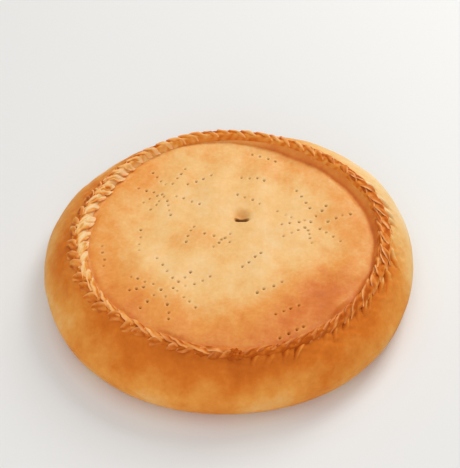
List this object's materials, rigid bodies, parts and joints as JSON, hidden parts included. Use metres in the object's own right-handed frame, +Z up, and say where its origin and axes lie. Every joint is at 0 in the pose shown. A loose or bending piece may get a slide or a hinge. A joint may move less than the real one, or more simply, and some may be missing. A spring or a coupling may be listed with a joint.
{
  "type": "meat and onion pie",
  "caption": "Round covered pie, baked and uncut, with a bulging side, a braided seam round its top edge, and a flat lid pricked with a fork and pierced by a steam vent.",
  "frame": {"origin": "middle of the pie's bounding box, on the plane of its flat base", "axes": "+Z up through the lid, -Y towards the pie's front as it is served, +X to the right of it"},
  "size_m": [0.253, 0.2461, 0.0458],
  "materials": {
    "crust": "baked golden dough, satin from its glaze, browner on the braid's edges"
  },
  "bodies": {
    "root": {"pie": "crust"}
  },
  "joints": []
}
